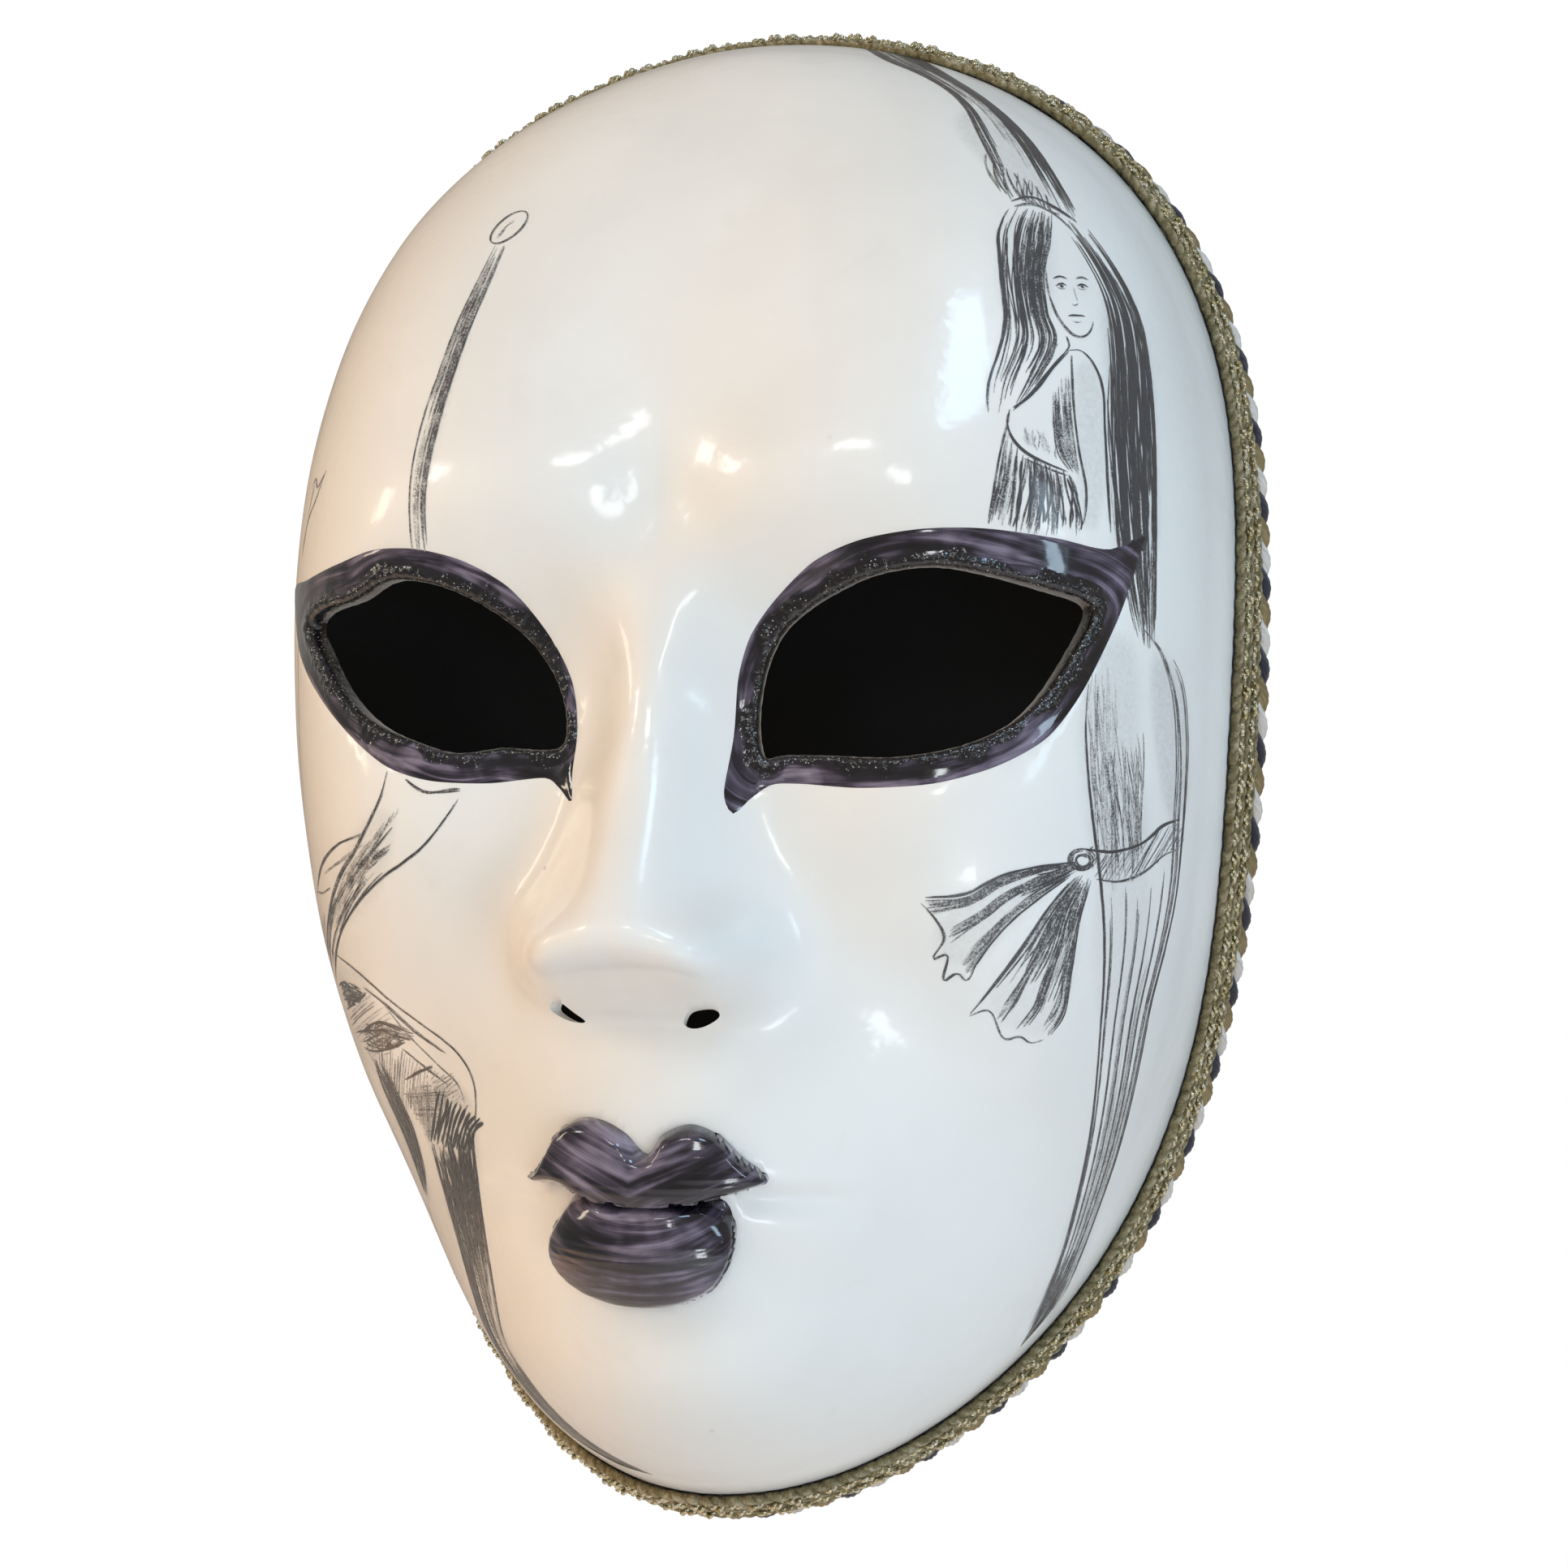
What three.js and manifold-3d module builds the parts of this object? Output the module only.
import * as THREE from 'three';
import { mergeVertices } from 'three/addons/utils/BufferGeometryUtils.js';
import Module from 'manifold-3d';

const wasm = await Module();
wasm.setup();

// ---------------------------------------------------------------- driving dimensions (mm)
// Full-face carnival mask, standing upright. +Z is up, the face looks along -Y and +X is the
// viewer's right. The origin is the back of the hanging tab, on the middle line of the face.
const HALF_WIDTH = 86.6;         // half the form's oval before the shaping below
const HALF_HEIGHT = 127.2;       // half the oval's height
const OVAL_Z = -3.7;             // oval's centre, against the line between the eyes
const EGG = 0.1;                 // how much wider the forehead is than the jaw
const SIDE_FLAT = 0.06;          // takes the temples in, so that the sides run straighter
const DOME = 67.7;               // depth of the form's plain dome
const SIDE_FULLNESS = 4.2;       // higher is boxier towards the temples
const TOP_FULLNESS = 1.95;       // the forehead and the jaw roll back sooner
const RIM_SLOPE = 0.15;          // keeps the form's edge from standing quite square
const SIDES_FORWARD = 4.4;       // the form comes forward at the temples
// The rim is cut back inside the form's oval and drops behind the form there. Both are
// terms of a cosine series of the angle from the top.
const RIM_INSET = [4.63, 1.87, 3.77, 0, 1.47, -0.31, -0.61, -0.27, -0.09];
const RIM_DROP = [10.9, 1.75, 3.4, 1.05, -2.8, 2.0];
const SHOULDER = [36, -3.1, 4.6]; // how sharply the front turns into the side wall
const SHOULDER_SLOPE = 0.02;
const FLARE = 1.0;               // slight outward lip at the very edge
const WALL = 2.6;                // papier-mache thickness
const POLE_Z = -38;              // the shell's rings close on the tip of the nose
const RINGS = 28;
const SECTORS = 60;

const COAT_GAP = 0.35;           // clearance that every glued-on piece keeps
const EYE_GAP = 0.6;             // the eye bands span the hollow beside the nose
const EYE_COAT = 0.5;            // thickness of the dark lacquer band round an eye
const LIP_COAT = 0.8;

const CORD_RADIUS = 2.6;
const CORD_OUT = 3.1;            // cord's centre, outside the rim
const CORD_BACK = 2.1;           // and behind it
const BRAID_OUT = 3.9;           // braid's outer edge, over the cord
const BRAID_ON_WALL = 7;         // and how far up the wall its inner edge lies
const BRAID_THICK = 1.1;
const THREAD_RADIUS = 0.75;
const RIM_SECTORS = 96;

const TAB_WIDTH = 30;
const TAB_HEIGHT = 20;
const TAB_THICK = 1.6;
const TAB_FORWARD = 1.0;         // tab's back face, in front of the rim plane
const TAB_TOP_Z = 109.2;
const NAIL_HOLE = 3.3;           // radius of the hole for a nail or a hook
const HOLE_BELOW_TOP = 5.4;      // its centre, below the tab's top edge
const ORIGIN_BELOW_TOP = 10;     // and the origin, below the same edge

const PATCH_LENGTH = 24;
const PATCH_DEPTH = 14;
const PATCH_THICK = 1.0;

// ---------------------------------------------------------------- the face as a height field
const sq = (v) => v * v;
const bell = (v, width) => Math.exp(-sq(v / width));
const ease = THREE.MathUtils.smoothstep;

// Width of the oval where the direction from its centre has the given cosine with +Z.
function ovalWidth(cosine) {
  return HALF_WIDTH * (1 + EGG * cosine + SIDE_FLAT * (2 * cosine * cosine - 1));
}

// Point of the oval at an angle taken from the top, towards the viewer's right.
function oval(angle) {
  const x = Math.sin(angle) * ovalWidth(Math.cos(angle));
  return new THREE.Vector2(x, OVAL_Z + HALF_HEIGHT * Math.cos(angle));
}

// Where (x, z) lies between the oval's centre, 0, and its edge, 1.
function reach(x, z) {
  const up = (z - OVAL_Z) / HALF_HEIGHT;
  let radius = Math.hypot(x / HALF_WIDTH, up) + 1e-9;
  for (let i = 0; i < 8; i += 1) {
    const cosine = THREE.MathUtils.clamp(up / radius, -1, 1);
    radius = Math.hypot(x / ovalWidth(cosine), up) + 1e-9;
  }
  return { radius, cosine: THREE.MathUtils.clamp(up / radius, -1, 1) };
}

const fullness = (cosine) => THREE.MathUtils.lerp(SIDE_FULLNESS, TOP_FULLNESS, sq(cosine));
const domeSpan = Math.sqrt(1 + RIM_SLOPE) - Math.sqrt(RIM_SLOPE);

function dome(x, z) {
  const { radius, cosine } = reach(x, z);
  const left = Math.max(1 + RIM_SLOPE - radius ** fullness(cosine), 0);
  return DOME * (Math.sqrt(left) - Math.sqrt(RIM_SLOPE)) / domeSpan;
}

function blendMax(a, b, soft) {
  const h = Math.max(soft - Math.abs(a - b), 0) / soft;
  return Math.max(a, b) + h * h * soft / 4;
}

// Forward depth of the form: dome, jaw, muzzle, chin, cheeks and brow.
function formDepth(xSigned, z) {
  const x = Math.abs(xSigned);
  const f = z - 1.4;
  let d = dome(x, z);
  d += 2.5 * bell(x - 62, 16) * bell(z + 62, 34);
  const muzzle = 76 - 38 * sq(x / 48) - 18 * sq((f + 66) / 44);
  const chin = 68 - 26 * sq(x / 30) - 17 * sq((f + 96) / 22);
  d = blendMax(d, muzzle, 14);
  d = blendMax(d, chin, 16);
  d += 3.2 * bell(x - 40, 20) * bell(f + 26, 20);
  d += 2.6 * bell(x - 24, 24) * bell(f - 26, 11);
  d -= 1.6 * bell(x, 9) * bell(f - 24, 10);
  d -= 4.2 * bell(x - 19, 12) * bell(f + 2, 15);
  d -= 1.8 * bell(x - 36, 17) * bell(f + 2, 13);
  return d + SIDES_FORWARD * sq(x / HALF_WIDTH);
}

const byAngle = (terms, angle) => terms.reduce((sum, t, k) => sum + t * Math.cos(k * angle), 0);

// Fraction of the way to the oval at which the rim lies.
function rimShare(angle) {
  const edge = oval(angle);
  return 1 - byAngle(RIM_INSET, angle) / Math.hypot(edge.x, edge.y - OVAL_Z);
}

function rimEdge(angle) {
  const edge = oval(angle);
  const share = rimShare(angle);
  return new THREE.Vector2(edge.x * share, OVAL_Z + share * (edge.y - OVAL_Z));
}

// Forward depth of the face without its nose: the form, with its side wall round the edge.
function broadDepth(x, z) {
  const { radius, cosine } = reach(x, z);
  const angle = Math.acos(cosine);
  const share = Math.min(radius / rimShare(angle), 1);
  const low = Math.sqrt(SHOULDER_SLOPE);
  const left = 1 + SHOULDER_SLOPE - share ** byAngle(SHOULDER, angle);
  const shoulder = (Math.sqrt(left) - low) / (Math.sqrt(1 + SHOULDER_SLOPE) - low);
  return formDepth(x, z) - byAngle(RIM_DROP, angle) * (1 - shoulder);
}

// The nose: its bridge, tip and wings.
function noseDepth(xSigned, z) {
  const x = Math.abs(xSigned);
  const f = z - 1.4;
  const bridge = 2.7 + 17 * (1 - ease(f, -44, 8)) ** 1.15;
  const ends = ease(f, -51.5, -36) * (1 - ease(f, 0, 26));
  const width = 7.2 + 5.2 * (1 - ease(f, -38, -4));
  const ridge = bridge * ends * Math.exp(-((x / width) ** 2.3));
  return ridge + 9 * bell(x - 12.2, 6.4) * bell(f + 40.5, 6.6);
}

const depth = (x, z) => broadDepth(x, z) + noseDepth(x, z);

// Outward direction of the face without its nose, which the wall and every coat follow.
function outward(x, z) {
  const step = 0.8;
  const gx = (broadDepth(x + step, z) - broadDepth(x - step, z)) / (2 * step);
  const gz = (broadDepth(x, z + step) - broadDepth(x, z - step)) / (2 * step);
  return new THREE.Vector3(-gx, -1, -gz).normalize();
}

// A point on the face, lifted off it, with the outward lip at the very edge.
function onFace(x, z, lift) {
  const { radius, cosine } = reach(x, z);
  const side = x < 0 ? -1 : 1;
  const out = ovalNormal(side * Math.acos(cosine));
  const lip = FLARE * ease(radius / rimShare(Math.acos(cosine)), 0.955, 1);
  const point = new THREE.Vector3(x + out.x * lip, -depth(x, z), z + out.y * lip);
  return point.addScaledVector(outward(x, z), lift);
}

// The same by ring and sector round the nose.
function onShell(ring, angle, lift) {
  const edge = rimEdge(angle);
  return onFace(ring * edge.x, POLE_Z + ring * (edge.y - POLE_Z), lift);
}

function ovalNormal(angle) {
  const a = oval(angle - 1e-3);
  const b = oval(angle + 1e-3);
  return new THREE.Vector2(-(b.y - a.y), b.x - a.x).normalize();
}

// A point of the side wall at a straight distance from the rim, by direction on the oval.
function onWall(angle, distance, lift) {
  const edge = rimEdge(angle);
  const at = (share, height) => onFace(share * edge.x, OVAL_Z + share * (edge.y - OVAL_Z), height);
  const rim = at(1, 0);
  let [near, far] = [1, 0.6];
  for (let i = 0; i < 24; i += 1) {
    const middle = (near + far) / 2;
    if (at(middle, 0).distanceTo(rim) < distance) {
      near = middle;
    } else {
      far = middle;
    }
  }
  return at(near, lift);
}

// A point beside the rim: out from it and forward of it.
function besideRim(angle, out, forward) {
  const edge = rimEdge(angle);
  const normal = ovalNormal(angle);
  const point = new THREE.Vector3(edge.x, -(depth(edge.x, edge.y) + forward), edge.y);
  point.x += normal.x * out;
  point.z += normal.y * out;
  return point;
}

// ---------------------------------------------------------------- closed solids
function toSolid(geometry) {
  const bare = geometry.index ? geometry.toNonIndexed() : geometry.clone();
  for (const name of Object.keys(bare.attributes)) {
    if (name !== 'position') {
      bare.deleteAttribute(name);
    }
  }
  const merged = mergeVertices(bare, 1e-3);
  const index = merged.index.array;
  const triangles = [];
  for (let i = 0; i < index.length; i += 3) {
    const [a, b, c] = [index[i], index[i + 1], index[i + 2]];
    if (a !== b && b !== c && a !== c) {
      triangles.push(a, b, c);
    }
  }
  const p = merged.attributes.position;
  const corner = [new THREE.Vector3(), new THREE.Vector3(), new THREE.Vector3()];
  let volume = 0;
  for (let i = 0; i < triangles.length; i += 3) {
    corner.forEach((v, k) => v.fromBufferAttribute(p, triangles[i + k]));
    volume += corner[0].dot(corner[1].clone().cross(corner[2]));
  }
  if (volume < 0) {
    triangles.reverse();
  }
  const vertProperties = new Float32Array(p.array);
  const triVerts = new Uint32Array(triangles);
  return new wasm.Manifold(new wasm.Mesh({ numProp: 3, vertProperties, triVerts }));
}

function fromSolid(solid) {
  const mesh = solid.getMesh();
  const geometry = new THREE.BufferGeometry();
  geometry.setAttribute('position', new THREE.BufferAttribute(mesh.vertProperties, 3));
  geometry.setIndex(new THREE.BufferAttribute(mesh.triVerts, 1));
  geometry.computeVertexNormals();
  return geometry;
}

// A lathed ring or disc whose every point is moved: place(radius, height, angle).
function lathed(profile, sectors, place) {
  const geometry = new THREE.LatheGeometry(profile.map(([r, h]) => new THREE.Vector2(r, h)), sectors);
  const p = geometry.attributes.position;
  for (let i = 0; i < p.count; i += 1) {
    const [x, h, z] = [p.getX(i), p.getY(i), p.getZ(i)];
    const sector = Math.round(Math.atan2(x, z) * sectors / (2 * Math.PI));
    const angle = ((sector + sectors) % sectors) * 2 * Math.PI / sectors;
    const moved = place(Math.hypot(x, z), h, angle);
    p.setXYZ(i, moved.x, moved.y, moved.z);
  }
  return toSolid(geometry);
}

// Upright prism over a closed outline in X and Z, running right through the shell.
function throughCut(curve, points) {
  const shape = new THREE.Shape(curve.getPoints(points).slice(0, points));
  const geometry = new THREE.ExtrudeGeometry(shape, { depth: 90, bevelEnabled: false });
  geometry.rotateX(Math.PI / 2);
  return toSolid(geometry);
}

// ---------------------------------------------------------------- outlines in X and Z
// Closed smooth curve through the given corners, mirrored for the viewer's left side.
function outline(corners, side = 1, tension = 0.5) {
  const points = corners.map(([x, z]) => new THREE.Vector3(side * x, z, 0));
  const curve = new THREE.CatmullRomCurve3(points, true, 'catmullrom', tension);
  return {
    at: (u) => {
      const p = curve.getPoint(((u % 1) + 1) % 1);
      return new THREE.Vector2(p.x, p.y);
    },
    getPoints(count) {
      return Array.from({ length: count }, (_, i) => this.at(i / count));
    },
  };
}

// Almond opening: from the inner corner over the top to the outer corner and back below.
const EYE_OPENING = [
  [15.2, -11.8], [14.4, -5.5], [16.8, 3.6], [23, 9.4], [31, 12.9], [40, 14.2],
  [50, 12.3], [60.6, 9.4], [56.3, -0.8], [49, -8.3], [39, -11.9], [26, -12.2],
];
// The lacquer band round it, with its two flicked tips, corner for corner.
const EYE_BAND = [
  [11.6, -19.2], [11, -7.5], [13.4, 5.2], [20.5, 12.8], [29.5, 17.5], [40, 19.3],
  [53.5, 18.4], [66.8, 18.6], [61.4, 1.4], [52.5, -11], [40, -15.8], [25, -16.2],
];
const UPPER_LIP = [
  [0.4, -66], [-3.6, -62.6], [-8, -61.8], [-12.6, -66], [-17.4, -70.6],
  [-9, -71.4], [0.4, -72.3], [9.8, -71.6], [17.2, -70.4], [12.6, -65.7], [8, -62.2], [4.2, -62.9],
];
const LOWER_LIP = [
  [0, -73.1], [-9, -73], [-13.2, -78.6], [-10.8, -84.2], [-5.6, -87],
  [0, -87.8], [5.6, -86.9], [10.6, -83.6], [12.8, -77.6], [9.6, -72.9],
];
const NOSTRIL = [[6, -48.9], [7.4, -46.9], [10.6, -46.3], [11.5, -47.6], [9.6, -49.2], [7.2, -49.6]];

// ---------------------------------------------------------------- the pieces
function faceShell() {
  const profile = [];
  for (let i = 0; i <= RINGS; i += 1) {
    profile.push([i / RINGS, 0]);
  }
  for (let i = RINGS; i >= 0; i -= 1) {
    profile.push([i / RINGS, 1]);
  }
  const spread = (ring) => 1 - Math.max(1 - ring, 0) ** 1.4;
  const place = (r, h, angle) => onShell(spread(r), angle, -WALL * h);
  let shell = lathed(profile, SECTORS, place);
  for (const side of [-1, 1]) {
    shell = shell.subtract(throughCut(outline(EYE_OPENING, side), 36));
    shell = shell.subtract(throughCut(outline(NOSTRIL, side), 12));
  }
  return fromSolid(shell);
}

function eyeBand(side) {
  const inner = outline(EYE_OPENING, side);
  const outer = outline(EYE_BAND, side, 0.45);
  const profile = [[1.06, 0], [1.5, 0], [2, 0], [2, 1], [1.5, 1], [1.06, 1], [1.06, 0]];
  const place = (r, h, angle) => {
    const u = angle / (2 * Math.PI);
    const p = inner.at(u).lerp(outer.at(u), r - 1);
    return onFace(p.x, p.y, EYE_GAP + EYE_COAT * h);
  };
  return fromSolid(lathed(profile, 48, place));
}

function lip(corners, centre, swell) {
  const edge = outline(corners);
  const profile = [[0, 0], [0.35, 0], [0.7, 0], [1, 0], [1, 1], [0.85, 1], [0.6, 1], [0.3, 1], [0, 1]];
  const place = (r, h, angle) => {
    const p = centre.clone().lerp(edge.at(angle / (2 * Math.PI)), r);
    const raised = LIP_COAT + swell * (1 - r ** 2.5);
    return onFace(p.x, p.y, COAT_GAP + h * raised);
  };
  return fromSolid(lathed(profile, 36, place));
}

// A closed section carried round the rim, given as [out, forward] or by a function.
function rimSweep(section) {
  const profile = section(0).map((_, i) => [i + 1, 0]);
  profile.push([section(0).length + 1, 0]);
  const place = (r, h, angle) => {
    const points = section(angle);
    return points[(Math.round(r) - 1) % points.length];
  };
  return fromSolid(lathed(profile, RIM_SECTORS, place));
}

// The braid's two long edges: one on the side wall, the other over the cord.
function braidLine(angle, across, lift) {
  const onSide = onWall(angle, BRAID_ON_WALL, COAT_GAP + 0.15);
  const overCord = besideRim(angle, BRAID_OUT, 0.95);
  const along = besideRim(angle + 0.01, 0, 0).sub(besideRim(angle - 0.01, 0, 0));
  const up = overCord.clone().sub(onSide).cross(along).normalize();
  if (up.y > 0) {
    up.negate();
  }
  return onSide.lerp(overCord, across).addScaledVector(up, lift);
}

function braidBand() {
  return rimSweep((angle) => [
    braidLine(angle, 0, 0),
    braidLine(angle, 1, 0),
    braidLine(angle, 1, BRAID_THICK),
    braidLine(angle, 0, BRAID_THICK),
  ]);
}

function braidThread(across) {
  return rimSweep((angle) => {
    const points = [];
    for (let i = 0; i < 6; i += 1) {
      const turn = i * Math.PI / 3;
      const sideways = 1.5 * THREAD_RADIUS * Math.cos(turn) / 8;
      const lift = BRAID_THICK + COAT_GAP + THREAD_RADIUS * (1 + Math.sin(turn));
      points.push(braidLine(angle, across + sideways, lift));
    }
    return points;
  });
}

function twistedCord() {
  return rimSweep((angle) => {
    const points = [];
    for (let i = 0; i < 8; i += 1) {
      const turn = i * Math.PI / 4;
      const out = CORD_OUT + CORD_RADIUS * Math.cos(turn);
      points.push(besideRim(angle, out, -CORD_BACK + CORD_RADIUS * Math.sin(turn)));
    }
    return points;
  });
}

// Glued patch inside the temple, which holds the end of a tie ribbon.
function ribbonPatch(side) {
  const geometry = new THREE.BoxGeometry(PATCH_DEPTH, PATCH_THICK, PATCH_LENGTH, 4, 1, 8);
  const p = geometry.attributes.position;
  for (let i = 0; i < p.count; i += 1) {
    const distance = 16 + p.getX(i);
    const angle = Math.PI / 2 + 0.04 - p.getZ(i) / HALF_HEIGHT;
    const lift = -(WALL + 0.6 + PATCH_THICK / 2 + p.getY(i));
    const moved = onWall(angle, distance, lift);
    p.setXYZ(i, side * moved.x, moved.y, moved.z);
  }
  return fromSolid(toSolid(geometry));
}

// Flat card tab inside the top of the rim, with a round hole for a nail.
function hangingTab() {
  const half = TAB_WIDTH / 2;
  const shape = new THREE.Shape();
  shape.moveTo(-half, -TAB_HEIGHT + 4);
  shape.quadraticCurveTo(-half, -TAB_HEIGHT, -half + 4, -TAB_HEIGHT);
  shape.lineTo(half - 4, -TAB_HEIGHT);
  shape.quadraticCurveTo(half, -TAB_HEIGHT, half, -TAB_HEIGHT + 4);
  shape.lineTo(half, -2.2);
  shape.quadraticCurveTo(0, 1.8, -half, -2.2);
  const hole = new THREE.Path();
  hole.absarc(0, -HOLE_BELOW_TOP, NAIL_HOLE, 0, 2 * Math.PI, true);
  shape.holes.push(hole);
  const geometry = new THREE.ExtrudeGeometry(shape, {
    depth: TAB_THICK, bevelEnabled: false, curveSegments: 8,
  });
  geometry.rotateX(Math.PI / 2);
  geometry.translate(0, -TAB_FORWARD, TAB_TOP_Z);
  return fromSolid(toSolid(geometry));
}

// ---------------------------------------------------------------- finishes and assembly
const finish = (color, roughness, metalness) => ({ color, roughness, metalness });
const PEARL_LACQUER = finish(0xdcdcd8, 0.22, 0);
const DARK_LACQUER = finish(0x2b2633, 0.16, 0);
const WOVEN_GOLD = finish(0x9a8a5a, 0.5, 0.45);
const GOLD_THREAD = finish(0xc9b06a, 0.32, 0.8);
const CORD_SATIN = finish(0x4a463f, 0.5, 0);
const FELT = finish(0x1c1b1d, 0.95, 0);
const CARD = finish(0x8a7350, 0.85, 0);

const mask = new THREE.Group();
const face = new THREE.Group();
face.position.set(0, TAB_FORWARD, ORIGIN_BELOW_TOP - TAB_TOP_Z);
mask.add(face);

function add(name, geometry, look) {
  const mesh = new THREE.Mesh(geometry, new THREE.MeshStandardMaterial(look));
  mesh.name = name;
  face.add(mesh);
}

add('face_shell', faceShell(), PEARL_LACQUER);
add('eye_band_left', eyeBand(-1), DARK_LACQUER);
add('eye_band_right', eyeBand(1), DARK_LACQUER);
add('upper_lip', lip(UPPER_LIP, new THREE.Vector2(0.3, -68.9), 2.6), DARK_LACQUER);
add('lower_lip', lip(LOWER_LIP, new THREE.Vector2(0, -80), 3.6), DARK_LACQUER);
add('braid_band', braidBand(), WOVEN_GOLD);
add('braid_thread_front', braidThread(0.28), GOLD_THREAD);
add('braid_thread_back', braidThread(0.74), GOLD_THREAD);
add('twisted_cord', twistedCord(), CORD_SATIN);
add('ribbon_patch_left', ribbonPatch(-1), FELT);
add('ribbon_patch_right', ribbonPatch(1), FELT);
add('hanging_tab', hangingTab(), CARD);

export default mask;
